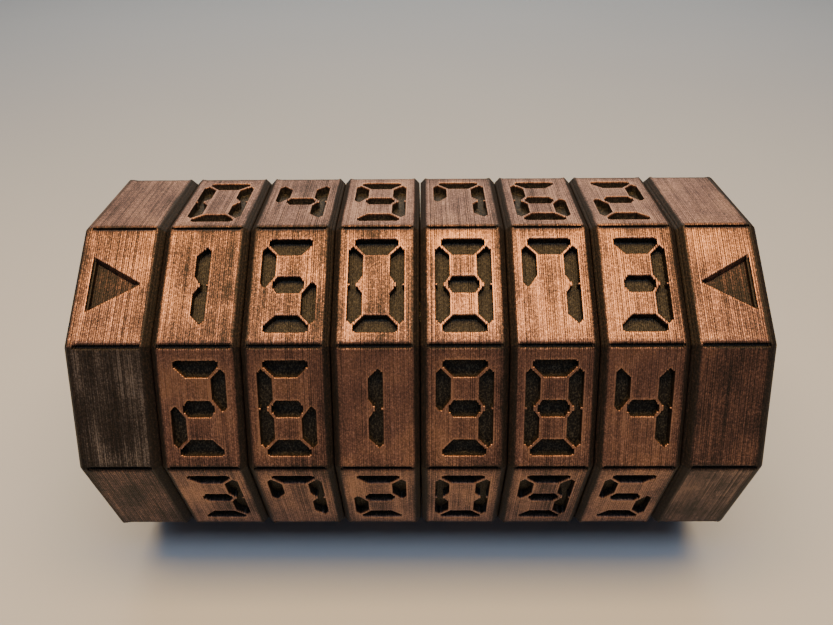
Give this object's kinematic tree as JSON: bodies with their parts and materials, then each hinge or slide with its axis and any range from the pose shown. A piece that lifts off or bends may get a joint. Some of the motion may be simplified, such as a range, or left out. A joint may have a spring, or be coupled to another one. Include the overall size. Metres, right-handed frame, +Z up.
{
  "type": "cryptex",
  "caption": "Decagonal puzzle cylinder with numbered rings that turn on a carrier and a hidden inner vault that slides out of one end when the rings line up.",
  "frame": {"origin": "middle of the prism, on the axis that the rings turn about", "axes": "+X along the axis from the left cap to the right cap, the way the vault slides out; +Z up, with one flat on top and one flat below to rest on; the digits are read from the -Y side"},
  "size_m": [0.0988, 0.06, 0.057],
  "materials": {
    "copper_rubbed_plastic": "dark printed plastic with visible layer lines, rubbed with copper wax",
    "black_plastic": "plain dark printed plastic with visible layer lines",
    "spring_steel": "rolled spring steel strip",
    "screw_steel": "zinc-plated steel"
  },
  "bodies": {
    "base": {"left_end_cap": "copper_rubbed_plastic", "carrier_tube": "black_plastic", "left_cap_screws": "screw_steel", "retaining_collar": "black_plastic", "collar_screws": "screw_steel", "detent_spring_1": "spring_steel", "detent_spring_2": "spring_steel", "detent_spring_3": "spring_steel", "detent_spring_4": "spring_steel", "detent_spring_5": "spring_steel", "detent_spring_6": "spring_steel"},
    "vault": {"right_end_cap": "copper_rubbed_plastic", "vault_tube": "black_plastic", "right_cap_screws": "screw_steel", "tooth_rail": "black_plastic", "rail_screws": "screw_steel"},
    "ring_1": {"code_ring_1": "copper_rubbed_plastic", "lock_ring_1": "black_plastic"},
    "ring_2": {"code_ring_2": "copper_rubbed_plastic", "lock_ring_2": "black_plastic"},
    "ring_3": {"code_ring_3": "copper_rubbed_plastic", "lock_ring_3": "black_plastic"},
    "ring_4": {"code_ring_4": "copper_rubbed_plastic", "lock_ring_4": "black_plastic"},
    "ring_5": {"code_ring_5": "copper_rubbed_plastic", "lock_ring_5": "black_plastic"},
    "ring_6": {"code_ring_6": "copper_rubbed_plastic", "lock_ring_6": "black_plastic"}
  },
  "joints": [
    {"name": "ring_1_turn", "type": "hinge", "parent": "base", "child": "ring_1", "pos_m": [-0.03125, 0, 0], "axis": [1, 0, 0], "continuous": true, "deforming": ["detent_spring_1"]},
    {"name": "ring_2_turn", "type": "hinge", "parent": "base", "child": "ring_2", "pos_m": [-0.01875, 0, 0], "axis": [1, 0, 0], "continuous": true, "deforming": ["detent_spring_2"]},
    {"name": "ring_3_turn", "type": "hinge", "parent": "base", "child": "ring_3", "pos_m": [-0.00625, 0, 0], "axis": [1, 0, 0], "continuous": true, "deforming": ["detent_spring_3"]},
    {"name": "ring_4_turn", "type": "hinge", "parent": "base", "child": "ring_4", "pos_m": [0.00625, 0, 0], "axis": [1, 0, 0], "continuous": true, "deforming": ["detent_spring_4"]},
    {"name": "ring_5_turn", "type": "hinge", "parent": "base", "child": "ring_5", "pos_m": [0.01875, 0, 0], "axis": [1, 0, 0], "continuous": true, "deforming": ["detent_spring_5"]},
    {"name": "ring_6_turn", "type": "hinge", "parent": "base", "child": "ring_6", "pos_m": [0.03125, 0, 0], "axis": [1, 0, 0], "continuous": true, "deforming": ["detent_spring_6"]},
    {"name": "vault_slide", "type": "slide", "parent": "base", "child": "vault", "axis": [1, 0, 0], "range_m": [0, 0.085]}
  ]
}
